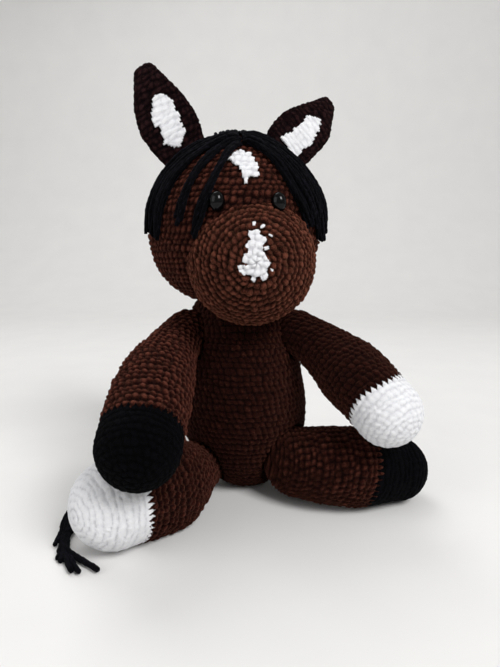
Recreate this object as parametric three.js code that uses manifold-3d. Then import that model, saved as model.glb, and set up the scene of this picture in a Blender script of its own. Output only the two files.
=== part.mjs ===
// A crocheted horse, sitting: hollow stuffed covers, joint yarns, safety eyes, a mane and a tail of yarn.
// Millimetres, +Z up. The origin is on the floor under the middle of the body, and the horse faces -Y,
// so its right side lies at -X.
import * as THREE from 'three';
import { mergeVertices } from 'three/addons/utils/BufferGeometryUtils.js';
import Module from 'manifold-3d';

const wasm = await Module();
wasm.setup();

const colours = {
  brown: 0x3a221c, muzzleBrown: 0x4a2c22, black: 0x0c0c12, white: 0xf2f2f4, fibre: 0xe8e4da,
};

// Fabric and clearances
const fabricThickness = 5;
const seatGap = 0.4;
const turnGap = 0.6;
const overrun = 12;

// Body: the widest round, the flat seat, the shoulders and the dome that the head sits on
const bodyRadius = 44.5;
const bodyWidestHeight = 62;
const bodySeatRadius = 15.5;
const bodyDepth = bodyWidestHeight / Math.sqrt(1 - (bodySeatRadius / bodyRadius) ** 2);
const shoulderRadius = 41;
const shoulderHeight = 112;
const domeRadius = 50;
const domeHeight = 100;
const domeRimRadius = 30;
const neckMouthRadius = 14;
const leanAcross = -4;
const leanForward = 3;

// Head: a ball that sinks over the dome, turned a little to the horse's left, and its muzzle
const headRadius = 59.5;
const headSink = 15;
const headAcross = -4;
const headForward = 7;
const headTurn = 10;
const neckSeamRadius = 24;
const neckSeamYarn = 1.6;
const muzzleRadius = 40.5;
const muzzleDepth = 36;
const muzzlePlaceShares = [0.0874, -0.6639, -0.4538];
const muzzleTurn = -6;

// Limbs: the ball at the joint, the thickest round and the reach from the joint to the hoof. A joint lies
// across and forward in shares of the round of the body that carries it. The bow and the hoof of the middle
// line are shares of the reach from the joint: across, forward and up. Legs lie on the floor, which gives
// their heights.
const armSizes = { ballRadius: 15.5, bellyRadius: 24.5, hoofBack: 8 };
const legSizes = { ballRadius: 21, bellyRadius: 28.3, hoofBack: 9 };
const rightArmReach = 110;
const leftArmReach = 85;
const rightLegReach = 90;
const leftLegReach = 73;
const armJointHeight = 117.5;
const armJointForwardShare = 0.4634;
const legJointHeight = 26;
const legJointForwardShare = 0.3;
const limbs = [
  {
    name: 'right_arm', sizes: armSizes, reach: rightArmReach, jointShare: -1, hoofShare: 0.9592,
    hoofColour: colours.black, bowShares: [-0.209, 0.3, -0.123], hoofShares: [-0.145, 0.882, -0.436],
  },
  {
    name: 'left_arm', sizes: armSizes, reach: leftArmReach, jointShare: 0.878, hoofShare: 0.9102,
    hoofColour: colours.white, bowShares: [0.4, 0.176, -0.135], hoofShares: [0.629, 0.576, -0.512],
  },
  {
    name: 'right_leg', sizes: legSizes, reach: rightLegReach, jointShare: -0.84, hoofShare: 0.9293,
    hoofColour: colours.white, bowShares: [-0.22, 0.47], hoofShares: [-0.44, 0.907],
  },
  {
    name: 'left_leg', sizes: legSizes, reach: leftLegReach, jointShare: 0.79, hoofShare: 0.8233,
    hoofColour: colours.black, bowShares: [0.46, 0.38], hoofShares: [0.957, 0.296],
  },
];
const armLift = 30;
const legDrop = 40;

// Joint yarns: one strand through both arms and one through both legs, with a knot at each end
const jointYarnDiameter = 2.4;
const knotDiameter = 6;

// Ears: flat leaves whose foot is inside the head before the head cuts it. The foot is in shares of the
// head's radius, and the way to the tip in shares of the ear's length: across, back and up.
const earLength = 61.7;
const earHalfWidth = 19.5;
const earThickness = 9;
const earSink = 9;
const earFlex = 18;
const liningThickness = 1.6;
const earFacing = 12;
const ears = [
  { name: 'right_ear', footShares: [-0.5714, 0.0336, 0.8235], wayShares: [-0.4302, 0.1688, 0.8864] },
  { name: 'left_ear', footShares: [0.5882, 0.0168, 0.8067], wayShares: [0.6796, 0.3155, 0.6634] },
];

// Safety eyes: a domed head, a shank through the cover and a washer on its inner face
const eyeHeight = 12.4;
const eyeWidth = 9.6;
const eyeDomeHeight = 5;
const shankDiameter = 3.2;
const shankLength = 13;
const washerDiameter = 14;
const washerThickness = 1.6;
const eyePlaceShares = [0.3059, 0.1395];

// Mane and tail
const maneThickness = 5;
const patchThickness = 1.4;
const tailThickness = 7;
const tailRootHeight = 15;
const tailReach = 127;
const tailEndHalfWidth = 8;

// Facet counts
const facetsRound = 20;
const facetsLimb = 14;
const facetsBall = 20;
const facetsNeck = 32;
const facetsSmall = 10;
const facetsYarn = 6;
const limbSteps = 4;

const degrees = Math.PI / 180;
const up = new THREE.Vector3(0, 0, 1);
const right = new THREE.Vector3(1, 0, 0);
const forward = new THREE.Vector3(0, -1, 0);
const stuffingInset = fabricThickness + turnGap;

/** A smooth step from 0 to 1 as share goes from 0 to 1. */
function ease(share) {
  const t = Math.min(Math.max(share, 0), 1);
  return t * t * (3 - 2 * t);
}

/** A closed skin over a list of rings of points. A ring of one point is a pole. */
function skin(rings) {
  const points = rings.flat();
  const starts = [];
  rings.reduce((start, ring) => { starts.push(start); return start + ring.length; }, 0);
  const around = Math.max(...rings.map((ring) => ring.length));
  const index = (ring, j) => starts[ring] + (rings[ring].length === 1 ? 0 : j % around);
  const faces = [];
  for (let i = 0; i + 1 < rings.length; i += 1) {
    for (let j = 0; j < around; j += 1) {
      if (rings[i].length > 1) faces.push(index(i, j), index(i, j + 1), index(i + 1, j + 1));
      if (rings[i + 1].length > 1) faces.push(index(i, j), index(i + 1, j + 1), index(i + 1, j));
    }
  }
  let volume = 0;
  for (let i = 0; i < faces.length; i += 3) {
    const [a, b, c] = [points[faces[i]], points[faces[i + 1]], points[faces[i + 2]]];
    volume += a.dot(b.clone().cross(c));
  }
  if (volume < 0) faces.reverse();
  const geometry = new THREE.BufferGeometry();
  const numbers = points.flatMap((point) => point.toArray());
  geometry.setAttribute('position', new THREE.Float32BufferAttribute(numbers, 3));
  geometry.setIndex(faces);
  return geometry;
}

/** A ring of points round a centre, in the plane of two unit vectors. */
function circle(centre, across, up, radius, facets, upRadius = radius) {
  return Array.from({ length: facets }, (_, j) => {
    const angle = (2 * Math.PI * j) / facets;
    return centre.clone()
      .addScaledVector(across, radius * Math.cos(angle))
      .addScaledVector(up, upRadius * Math.sin(angle));
  });
}

/** The solid of a closed geometry. */
function solid(geometry) {
  const bare = geometry.clone();
  bare.deleteAttribute('normal');
  bare.deleteAttribute('uv');
  const merged = mergeVertices(bare);
  return new wasm.Manifold(new wasm.Mesh({
    numProp: 3,
    vertProperties: new Float32Array(merged.attributes.position.array),
    triVerts: new Uint32Array(merged.index.array),
  }));
}

/** The geometry of a solid. */
function geometryOf(shape) {
  const mesh = shape.getMesh();
  const geometry = new THREE.BufferGeometry();
  geometry.setAttribute('position', new THREE.Float32BufferAttribute(mesh.vertProperties, 3));
  geometry.setIndex([...mesh.triVerts]);
  geometry.computeVertexNormals();
  return geometry;
}

/** A ball as a solid. */
function ball(centre, radius, facets = facetsBall) {
  const geometry = new THREE.SphereGeometry(radius, facets, facets / 2);
  return solid(geometry.translate(centre.x, centre.y, centre.z));
}

/** A rod between two points as a solid. */
function rod(start, end, radius, facets = facetsSmall) {
  const length = start.distanceTo(end);
  const geometry = new THREE.CylinderGeometry(radius, radius, length, facets);
  const along = end.clone().sub(start).normalize();
  geometry.applyQuaternion(new THREE.Quaternion().setFromUnitVectors(new THREE.Vector3(0, 1, 0), along));
  const middle = start.clone().add(end).multiplyScalar(1 / 2);
  return solid(geometry.translate(middle.x, middle.y, middle.z));
}

/** A solid about a line: rows of half width, half height and distance along it from a point. 0 is a pole. */
function spindle(start, along, rows, facets) {
  const across = along.clone().cross(up).normalize();
  const upward = across.clone().cross(along).normalize();
  return solid(skin(rows.map(([wide, high, distance]) => {
    const centre = start.clone().addScaledVector(along, distance);
    return wide ? circle(centre, across, upward, wide, facets, high) : [centre];
  })));
}

/** A geometry turned by an angle in degrees round an axis through a point. */
function turned(geometry, pivot, axis, angle) {
  return geometry.clone()
    .translate(-pivot.x, -pivot.y, -pivot.z)
    .applyQuaternion(new THREE.Quaternion().setFromAxisAngle(axis, angle * degrees))
    .translate(pivot.x, pivot.y, pivot.z);
}

const toy = new THREE.Group();

/** Adds a named mesh to a group. */
function add(group, name, geometry, colour, roughness = 0.95) {
  const material = new THREE.MeshStandardMaterial({ color: colour, roughness, metalness: 0 });
  const mesh = new THREE.Mesh(geometry, material);
  mesh.name = name;
  group.add(mesh);
}

// Body: stacked rounds from the flat seat up to the neck mouth, over a lean towards the head
const pivotPoint = new THREE.Vector3(leanAcross, -leanForward, domeHeight);

/** The middle of the body at a height. */
function bodyMiddle(height) {
  const lean = ease(height / domeHeight);
  return new THREE.Vector3(leanAcross * lean, -leanForward * lean, height);
}

/** The body's rounds from the seat to the neck mouth, as pairs of radius and height, inset by a distance. */
function bodyProfile(inset) {
  const belly = bodyRadius - inset;
  const depth = bodyDepth - inset;
  const lowest = Math.asin((bodyWidestHeight - inset) / depth);
  const pairs = [];
  const bellySteps = 6;
  for (let i = 0; i <= bellySteps; i += 1) {
    const angle = lowest * (1 - i / bellySteps);
    pairs.push([belly * Math.cos(angle), bodyWidestHeight - depth * Math.sin(angle)]);
  }
  const sideSteps = 3;
  for (let i = 1; i < sideSteps; i += 1) {
    const height = bodyWidestHeight + ((shoulderHeight - bodyWidestHeight) * i) / sideSteps;
    pairs.push([belly + (shoulderRadius - bodyRadius) * ease(i / sideSteps), height]);
  }
  const shoulder = shoulderRadius - inset;
  const dome = domeRadius - inset;
  const rim = domeRimRadius - inset * (domeRimRadius / domeRadius);
  const shoulderSteps = 4;
  for (let i = 0; i <= shoulderSteps; i += 1) {
    const angle = (Math.acos(rim / shoulder) * i) / shoulderSteps;
    const height = shoulderHeight + shoulder * Math.sin(angle);
    const domeTop = domeHeight + Math.sqrt(dome ** 2 - (shoulder * Math.cos(angle)) ** 2);
    pairs.push([shoulder * Math.cos(angle), Math.min(height, domeTop)]);
  }
  const domeSteps = 2;
  for (let i = 1; i <= domeSteps; i += 1) {
    const radius = rim + ((neckMouthRadius - rim) * i) / domeSteps;
    pairs.push([radius, domeHeight + Math.sqrt(dome ** 2 - radius ** 2)]);
  }
  return pairs;
}

/** The body's rings for a profile. */
function bodyRings(inset) {
  return bodyProfile(inset).map(([radius, height]) => (
    circle(bodyMiddle(height), right, forward, radius, facetsRound)));
}

// Limbs: a tube round a bowed middle line, with a ball at the joint end and a round hoof
/** The radius of a limb's hoof. */
function hoofRadius(limb) {
  return limb.hoofShare * limb.sizes.bellyRadius;
}

/** A limb's middle line, with its length and its pivot. A leg's belly and hoof lie on the floor. */
function limbLine(limb) {
  const isArm = limb.sizes === armSizes;
  const [around, ahead] = isArm ? [shoulderRadius, armJointForwardShare] : [bodyRadius, legJointForwardShare];
  const pivot = new THREE.Vector3(
    limb.jointShare * around, -ahead * around, isArm ? armJointHeight : legJointHeight,
  );
  const hoof = placeFrom(pivot, limb.hoofShares, limb.reach);
  const bow = placeFrom(pivot, limb.bowShares, limb.reach);
  if (!isArm) {
    hoof.z = hoofRadius(limb) + seatGap;
    bow.z = 2 * (limb.sizes.bellyRadius + seatGap) - (pivot.z + hoof.z) / 2;
  }
  const curve = new THREE.QuadraticBezierCurve3(pivot, bow, hoof);
  return { curve, pivot, length: curve.getLength() };
}

/** The place at shares of a length from a place: across, forward and up. */
function placeFrom(place, [across, ahead, upward = 0], length) {
  return place.clone().add(new THREE.Vector3(across, -ahead, upward).multiplyScalar(length));
}

/** The radius of a limb at a distance along its line, without its round ends. */
function limbRadius(limb, distance, length) {
  const { ballRadius, bellyRadius } = limb.sizes;
  const swell = ease(distance / (length / 2));
  const taper = ease((distance - length / 2) / (length / 2));
  return ballRadius + (bellyRadius - ballRadius) * swell + (hoofRadius(limb) - bellyRadius) * taper;
}

/** A ring of a limb: distance runs from the joint's middle, and past an end the line goes on straight. */
function limbRing(limb, line, distance, radius) {
  const share = Math.min(Math.max(distance / line.length, 0), 1);
  const along = line.curve.getTangentAt(share);
  const centre = line.curve.getPointAt(share).addScaledVector(along, distance - share * line.length);
  if (radius < seatGap) return [centre];
  const across = along.clone().cross(up).normalize();
  return circle(centre, across, across.clone().cross(along).normalize(), radius, facetsLimb);
}

/** Rings of a limb's ball end, from the pole to the pivot, for an inset from its outer face. */
function ballRings(limb, line, inset) {
  const radius = limb.sizes.ballRadius - inset;
  return Array.from({ length: limbSteps }, (_, i) => {
    const angle = (i / limbSteps) * (Math.PI / 2);
    return limbRing(limb, line, -radius * Math.cos(angle), radius * Math.sin(angle));
  });
}

/** Rings of a limb between two distances along its line, for an inset. */
function tubeRings(limb, line, inset, start, end) {
  return Array.from({ length: limbSteps + 1 }, (_, i) => {
    const distance = start + ((end - start) * i) / limbSteps;
    return limbRing(limb, line, distance, limbRadius(limb, distance, line.length) - inset);
  });
}

/** Rings of a limb's hoof, from a distance along its line to the pole, for an inset. */
function hoofRings(limb, line, inset, start) {
  const radius = hoofRadius(limb) - inset;
  const rings = [limbRing(limb, line, start, limbRadius(limb, start, line.length) - inset)];
  for (let i = 0; i <= limbSteps; i += 1) {
    const angle = (i / limbSteps) * (Math.PI / 2);
    rings.push(limbRing(limb, line, line.length + radius * Math.sin(angle), radius * Math.cos(angle)));
  }
  return rings;
}

/** The whole outer shape of a limb, grown by a distance. */
function limbShape(limb, line, inset) {
  return skin([
    ...ballRings(limb, line, inset),
    ...tubeRings(limb, line, inset, 0, line.length - limb.sizes.hoofBack),
    ...hoofRings(limb, line, inset, line.length - limb.sizes.hoofBack / 2),
  ]);
}

/** The seat of a limb in the body: the hull of its ball and of its neck at both ends of its swing, grown. */
function limbSeat(limb, line, grow) {
  const { ballRadius } = limb.sizes;
  const swing = limb.sizes === armSizes ? -armLift : legDrop;
  const reach = ballRadius + fabricThickness;
  const around = 1 / Math.cos(Math.PI / facetsLimb);
  const neck = (limbRadius(limb, ballRadius, line.length) + grow) * around;
  const out = line.curve.getPointAt(reach / line.length).sub(line.pivot).setLength(reach + overrun);
  const necks = [0, swing].map((angle) => rod(
    line.pivot, out.clone().applyAxisAngle(right, angle * degrees).add(line.pivot), neck, facetsLimb,
  ));
  return wasm.Manifold.hull([ball(line.pivot, (ballRadius + grow) * around, facetsLimb), ...necks]);
}

const lines = limbs.map(limbLine);
const yarnRadius = jointYarnDiameter / 2;
const knotRadius = knotDiameter / 2;
const yarnPairs = [[lines[0].pivot, lines[1].pivot], [lines[2].pivot, lines[3].pivot]];

/** Cuts the two joint yarns' holes out of a solid, with or without pockets for the knots. */
function cutYarns(shape, pockets) {
  let cut = shape;
  for (const [start, end] of yarnPairs) {
    cut = cut.subtract(rod(start, end, yarnRadius + seatGap));
    if (!pockets) continue;
    for (const point of [start, end]) cut = cut.subtract(ball(point, knotRadius + seatGap, facetsSmall));
  }
  return cut;
}

for (const [k, limb] of limbs.entries()) {
  const line = lines[k];
  const edge = line.length - limb.sizes.hoofBack;
  const cover = skin([
    ...ballRings(limb, line, 0), ...tubeRings(limb, line, 0, 0, edge),
    ...tubeRings(limb, line, fabricThickness, 0, edge).reverse(),
    ...ballRings(limb, line, fabricThickness).reverse(),
  ]);
  add(toy, `${limb.name}_cover`, geometryOf(cutYarns(solid(cover), false)), colours.brown);
  const hoof = skin([
    ...hoofRings(limb, line, 0, edge + seatGap).reverse(),
    ...hoofRings(limb, line, fabricThickness, edge + seatGap),
  ]);
  add(toy, `${limb.name}_hoof`, geometryOf(solid(hoof)), limb.hoofColour);
  const stuffing = cutYarns(solid(limbShape(limb, line, stuffingInset)), true);
  add(toy, `${limb.name}_stuffing`, geometryOf(stuffing), colours.fibre);
}

for (const [name, [start, end]] of [['arm_joint_yarn', yarnPairs[0]], ['leg_joint_yarn', yarnPairs[1]]]) {
  const knots = ball(start, knotRadius, facetsSmall).add(ball(end, knotRadius, facetsSmall));
  add(toy, name, geometryOf(rod(start, end, yarnRadius).add(knots)), colours.black);
}

// The body is dented where the limbs sit in it, and its wall follows each dent
/** The body's round shape for an inset, without its dents. */
function bodyShape(inset) {
  const rings = bodyRings(inset);
  return solid(skin([[new THREE.Vector3(0, 0, rings[0][0].z)], ...rings, [bodyMiddle(rings.at(-1)[0].z)]]));
}

/** The body's shape for an inset, with the limbs' seats cut by a growth of each limb. */
function dented(inset, grow) {
  return limbs.reduce((shape, limb, k) => shape.subtract(limbSeat(limb, lines[k], grow)), bodyShape(inset));
}

const mouthTop = bodyMiddle(domeHeight + domeRadius + overrun);
const mouth = rod(bodyMiddle(domeHeight), mouthTop, neckMouthRadius, facetsRound);
const bodyOuter = dented(0, turnGap);
const bodyHollow = dented(fabricThickness, turnGap + fabricThickness);
const bodyFill = dented(stuffingInset, turnGap + stuffingInset);
const bodyCover = bodyOuter.subtract(bodyHollow).subtract(mouth);
add(toy, 'body_cover', geometryOf(cutYarns(bodyCover, false)), colours.brown);
add(toy, 'body_stuffing', geometryOf(cutYarns(bodyFill, false)), colours.fibre);

const seamBed = domeRadius + seatGap + neckSeamYarn / 2;
const seam = new THREE.TorusGeometry(neckSeamRadius, neckSeamYarn / 2, facetsYarn, facetsRound);
seam.translate(pivotPoint.x, pivotPoint.y, domeHeight + Math.sqrt(seamBed ** 2 - neckSeamRadius ** 2));
add(toy, 'neck_seam_yarn', geometryOf(solid(seam)), colours.brown);

// Head: its pieces are placed in a group at the head's middle, turned towards the horse's left
const head = new THREE.Group();
head.position.copy(pivotPoint);
head.position.add(new THREE.Vector3(headAcross, -headForward, headRadius + domeRadius - headSink));
head.rotation.z = headTurn * degrees;
toy.add(head);
head.updateMatrixWorld(true);
const neckInHead = head.worldToLocal(pivotPoint.clone());
const middle = new THREE.Vector3();
const neckSeatRadius = (domeRadius + neckSeamYarn + 2 * seatGap) / Math.cos(Math.PI / facetsNeck);
const neckSeat = ball(neckInHead, neckSeatRadius, facetsNeck);

/** A ball squashed to three half sizes, turned about the vertical, as a solid. */
function squashed(centre, across, deep, high, turn) {
  const geometry = new THREE.SphereGeometry(1, facetsBall, facetsBall / 2);
  geometry.scale(across, deep, high).rotateZ(turn * degrees).translate(centre.x, centre.y, centre.z);
  return solid(geometry);
}

/** The unit vector from the head's middle to a place on its face: across and up as shares of its radius. */
function onFace(across, upward) {
  return new THREE.Vector3(across, -Math.sqrt(1 - across ** 2 - upward ** 2), upward);
}

let headCover = ball(middle, headRadius)
  .subtract(ball(middle, headRadius - fabricThickness)).subtract(neckSeat);
let headFill = ball(middle, headRadius - stuffingInset)
  .subtract(ball(neckInHead, neckSeatRadius + fabricThickness, facetsNeck));

// Eyes: the shank goes through the cover, and the washer holds it behind the inner face. The muzzle gives
// way round each eye.
const innerFace = (headRadius - fabricThickness) * Math.cos(Math.PI / facetsBall) ** 2;
const washerFace = Math.sqrt(innerFace ** 2 - (washerDiameter / 2) ** 2) - seatGap;
const eyeBase = headRadius + seatGap;
const shankEnd = eyeBase - shankLength;
const eyeDomeShares = [[1, 0], [0.92, 0.4], [0.7, 0.72], [0.38, 0.93], [0, 1]];
const eyeRooms = [];
for (const [side, name] of [[-1, 'right_eye'], [1, 'left_eye']]) {
  const out = onFace(side * eyePlaceShares[0], eyePlaceShares[1]);
  const at = (distance) => out.clone().multiplyScalar(distance);
  const shankRadius = shankDiameter / 2;
  const rows = [[0, 0, shankEnd], ...[shankEnd, eyeBase].map((far) => [shankRadius, shankRadius, far])];
  for (const [wide, far] of eyeDomeShares) {
    rows.push([(wide * eyeWidth) / 2, (wide * eyeHeight) / 2, eyeBase + far * eyeDomeHeight]);
  }
  add(head, name, geometryOf(spindle(middle, out, rows, facetsLimb)), colours.black, 0.1);
  const shankHole = rod(at(shankEnd - seatGap), at(eyeBase + overrun), shankRadius + seatGap);
  const washer = rod(at(washerFace - washerThickness), at(washerFace), washerDiameter / 2, facetsLimb);
  add(head, `${name}_washer`, geometryOf(washer.subtract(shankHole)), colours.black, 0.4);
  const pocketBack = at(washerFace - washerThickness - seatGap);
  const pocket = rod(pocketBack, at(headRadius), washerDiameter / 2 + seatGap, facetsLimb);
  headCover = headCover.subtract(shankHole);
  headFill = headFill.subtract(shankHole).subtract(pocket);
  const roomEnd = at(eyeBase + eyeDomeHeight + overrun);
  eyeRooms.push(rod(at(washerFace), roomEnd, eyeHeight / 2 + seatGap, facetsLimb));
}
add(head, 'head_cover', geometryOf(headCover), colours.brown);
add(head, 'head_stuffing', geometryOf(headFill), colours.fibre);

// Muzzle: a squashed dome cut by the head, open where it is sewn on
const muzzlePlace = new THREE.Vector3(...muzzlePlaceShares).multiplyScalar(headRadius);
const headAndNeck = ball(middle, headRadius + seatGap).add(neckSeat);
const headCut = eyeRooms.reduce((cut, room) => cut.add(room), headAndNeck);
const muzzleSizes = (inset) => [muzzleRadius - inset, muzzleDepth - inset, muzzleRadius - inset, muzzleTurn];
const muzzleOuter = squashed(muzzlePlace, ...muzzleSizes(0));
const muzzleHollow = squashed(muzzlePlace, ...muzzleSizes(fabricThickness));
const muzzleWall = muzzleOuter.subtract(muzzleHollow).subtract(headCut);
add(head, 'muzzle_cover', geometryOf(muzzleWall), colours.muzzleBrown);
const muzzleFill = squashed(muzzlePlace, ...muzzleSizes(stuffingInset)).subtract(headCut);
add(head, 'muzzle_stuffing', geometryOf(muzzleFill), colours.fibre);

/** A thin patch over a squashed ball: an outline of across and up shares of its half sizes, on its front. */
function patch(centre, across, deep, high, turn, outlineShares) {
  const count = outlineShares.length;
  const mid = outlineShares.reduce(([x, z], [a, b]) => [x + a / count, z + b / count], [0, 0]);
  const layer = (share, grow) => outlineShares.map(([a, b]) => {
    const [x, z] = [mid[0] + (a - mid[0]) * share, mid[1] + (b - mid[1]) * share];
    const place = new THREE.Vector3(
      x * (across + grow), -(deep + grow) * Math.sqrt(1 - x ** 2 - z ** 2), z * (high + grow),
    );
    return place.applyAxisAngle(up, turn * degrees).add(centre);
  });
  const [low, top] = [2 * seatGap, 2 * seatGap + patchThickness];
  const pole = (grow) => layer(0, grow).slice(0, 1);
  return skin([pole(low), layer(1 / 2, low), layer(1, low), layer(1, top), layer(1 / 2, top), pole(top)]);
}

const starOutlineShares = [
  [-0.16, 0.56], [-0.1, 0.65], [-0.01, 0.67], [0.07, 0.65], [0.11, 0.55], [0.09, 0.48],
  [0.12, 0.40], [0.05, 0.37], [-0.01, 0.31], [-0.03, 0.38], [-0.06, 0.44], [-0.11, 0.50],
];
const snipOutlineShares = [
  [0.03, 0.57], [-0.07, 0.46], [-0.07, 0.34], [-0.13, 0.25], [-0.13, 0.02], [-0.19, -0.08], [-0.12, -0.19],
  [0.06, -0.28], [0.17, -0.27], [0.27, -0.12], [0.26, -0.03], [0.22, 0.03], [0.23, 0.26], [0.19, 0.37],
  [0.18, 0.47],
];
const star = patch(middle, headRadius, headRadius, headRadius, 0, starOutlineShares);
add(head, 'forehead_star', geometryOf(solid(star)), colours.white);
const snip = patch(muzzlePlace, ...muzzleSizes(0), snipOutlineShares);
add(head, 'muzzle_snip', geometryOf(solid(snip)), colours.white);

// Ears: a flat leaf from foot to tip, cut by the head over its whole flex, with a white lining in front
const earHalfWidthShares = [0.62, 0.86, 1, 0.98, 0.84, 0.62, 0.4];
const earThicknessShares = [0.9, 1, 1, 0.95, 0.9, 0.8, 0.65];
const liningHalfWidthShares = [0.1, 0.4, 0.52, 0.5, 0.36, 0.1];
const [liningStartShare, liningEndShare, liningPoleShare] = [0.3, 0.72, 0.025];
for (const ear of ears) {
  const along = new THREE.Vector3(...ear.wayShares).normalize();
  const foot = new THREE.Vector3(...ear.footShares).multiplyScalar(headRadius);
  const length = earLength + earSink;
  const facing = forward.clone().applyAxisAngle(up, Math.sign(foot.x) * earFacing * degrees);
  const across = along.clone().cross(facing).normalize();
  const front = across.clone().cross(along).normalize();
  const start = foot.clone().addScaledVector(along, -earSink);
  const point = (share, before = 0) => start.clone()
    .addScaledVector(along, share * length).addScaledVector(front, before);
  const leafRings = earHalfWidthShares.map((share, i) => circle(
    point(i / earHalfWidthShares.length), across, front, share * earHalfWidth, facetsLimb,
    (earThicknessShares[i] * earThickness) / 2,
  ));
  let shape = solid(skin([[start.clone().addScaledVector(along, -seatGap)], ...leafRings, [point(1)]]));
  const headBall = new THREE.SphereGeometry(headRadius + seatGap, facetsBall, facetsBall / 2);
  const hinge = foot.clone().normalize().multiplyScalar(headRadius + seatGap);
  for (const angle of [-earFlex, 0, earFlex]) {
    shape = shape.subtract(solid(turned(headBall, hinge, across, angle)));
  }
  add(head, ear.name, geometryOf(shape), colours.brown);
  const before = earThickness / 2 + seatGap + liningThickness / 2;
  const liningStep = (liningEndShare - liningStartShare) / (liningHalfWidthShares.length - 1);
  const liningRings = liningHalfWidthShares.map((share, i) => circle(
    point(liningStartShare + liningStep * i, before), across, front, share * earHalfWidth, facetsLimb,
    liningThickness / 2,
  ));
  const lining = skin([
    [point(liningStartShare - liningPoleShare, before)], ...liningRings,
    [point(liningEndShare + liningPoleShare, before)],
  ]);
  add(head, `${ear.name}_lining`, geometryOf(solid(lining)), colours.white);
}

// Mane: locks that lie on the head, cut to lie beside the muzzle. A lock is rows of an angle down from the
// parting, an angle forward from the ears and a half width, all in degrees.
/** The direction at an angle down from the parting and an angle forward from the ears. */
function maneDirection(side, front) {
  const [a, b] = [side * degrees, front * degrees];
  return new THREE.Vector3(Math.sin(a) * Math.cos(b), -Math.sin(b), Math.cos(a) * Math.cos(b));
}

/** A lock over the head along rows of angles. */
function lock(rows) {
  const high = headRadius + seatGap + maneThickness;
  const acrossSteps = 4;
  const directions = rows.map(([side, front]) => maneDirection(side, front));
  const rings = rows.map(([, , half], i) => {
    const [before, after] = [directions[Math.max(i - 1, 0)], directions[Math.min(i + 1, rows.length - 1)]];
    const axis = after.clone().sub(before).normalize();
    const row = Array.from({ length: acrossSteps + 1 }, (_, j) => directions[i].clone()
      .applyAxisAngle(axis, half * degrees * ((2 * j) / acrossSteps - 1)));
    const outer = row.map((d) => d.clone().multiplyScalar(high));
    return [...outer, ...row.map((d) => d.clone().multiplyScalar(headRadius)).reverse()];
  });
  const end = (i) => [directions.at(i).clone().multiplyScalar((headRadius + high) / 2)];
  return solid(skin([end(0), ...rings, end(-1)])).subtract(headRoom);
}

const headRoom = ball(middle, headRadius + seatGap).add(squashed(muzzlePlace, ...muzzleSizes(-seatGap)));
const maneLocks = {
  mane_right_front: [
    [-20, 49, 3.5], [-34, 56, 3.5], [-58, 58.5, 4], [-80, 58.5, 4.2], [-100, 57, 4.2], [-120, 50, 3],
  ],
  mane_right_middle: [[-20, 40.5, 3.5], [-35, 46, 4], [-58, 48, 4.3], [-78, 48, 4.3], [-97, 46, 3]],
  mane_right_side: [
    [-22, 31.5, 3], [-38, 30, 8], [-58, 30, 11], [-78, 29, 11.5], [-94, 26, 10], [-104, 23, 7],
  ],
  mane_left_front: [[20, 46, 5], [34, 52, 5.5], [60, 57, 7], [85, 55, 8], [102, 48, 6]],
  mane_left_side: [[22, 33, 4.5], [40, 35, 9], [62, 36, 11], [82, 33, 12], [96, 28, 11], [104, 23, 7]],
  mane_crown: [[0, -14, 8], [0, -4, 11], [0, 8, 13], [0, 20, 15.5], [0, 30, 15.5], [0, 38, 13]],
  mane_nape: [
    [0, -17, 10], [0, -34, 20], [0, -55, 26], [0, -75, 28], [0, -95, 28], [0, -112, 24], [0, -122, 16],
  ],
};
for (const [name, rows] of Object.entries(maneLocks)) add(head, name, geometryOf(lock(rows)), colours.black);

// Tail: a flat bundle from its rounded root behind the seat, round the right leg, to its cut ends. Each
// row is a place across and back as shares of the reach, a height share and a half width share.
const tailShares = [
  [-0.1, 0.42, 0.4, 0.75],
  [-0.26, 0.44, 0.12, 0.8],
  [-0.48, 0.35, 0, 0.85],
  [-0.67, 0.15, 0, 0.9],
  [-0.81, -0.11, 0, 0.92],
  [-0.885, -0.36, 0, 0.92],
  [-0.9, -0.58, 0, 0.92],
  [-0.885, -0.75, 0, 0.92],
  [-0.84, -0.895, 0, 0.94],
  [-0.735, -1, 0, 1],
];
const tailHalfThickness = tailThickness / 2;
const rootAngle = Math.asin((bodyWidestHeight - tailRootHeight) / bodyDepth);
const rootNormal = new THREE.Vector3(0, Math.cos(rootAngle) / bodyRadius, -Math.sin(rootAngle) / bodyDepth)
  .normalize();
const tailRoot = bodyMiddle(tailRootHeight)
  .add(new THREE.Vector3(0, bodyRadius * Math.cos(rootAngle), 0))
  .addScaledVector(rootNormal, tailHalfThickness + seatGap);
const tailRest = tailHalfThickness + seatGap;
const tailPlaces = [tailRoot, ...tailShares.map(([across, back, high]) => new THREE.Vector3(
  across * tailReach, back * tailReach, tailRest + high * (tailRoot.z - tailRest),
))];
const tailHalves = [tailHalfThickness, ...tailShares.map((row) => row[3] * tailEndHalfWidth)];
const tailCurve = new THREE.CatmullRomCurve3(tailPlaces);
const tailRings = tailHalves.map((half, i) => {
  const share = i / tailShares.length;
  const along = tailCurve.getTangent(share);
  const across = along.clone().cross(up).normalize();
  const upward = across.clone().cross(along).normalize();
  return circle(tailCurve.getPoint(share), across, upward, half, facetsSmall, tailHalfThickness);
});
const tailPole = tailRoot.clone().addScaledVector(rootNormal, -tailHalfThickness);
add(toy, 'tail', geometryOf(solid(skin([[tailPole], ...tailRings, [tailCurve.getPoint(1)]]))), colours.black);

export default toy;
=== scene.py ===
"""A crocheted plush horse, sitting. Sizes are in millimetres, and each mesh turns to metres as it is made."""

import math

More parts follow.
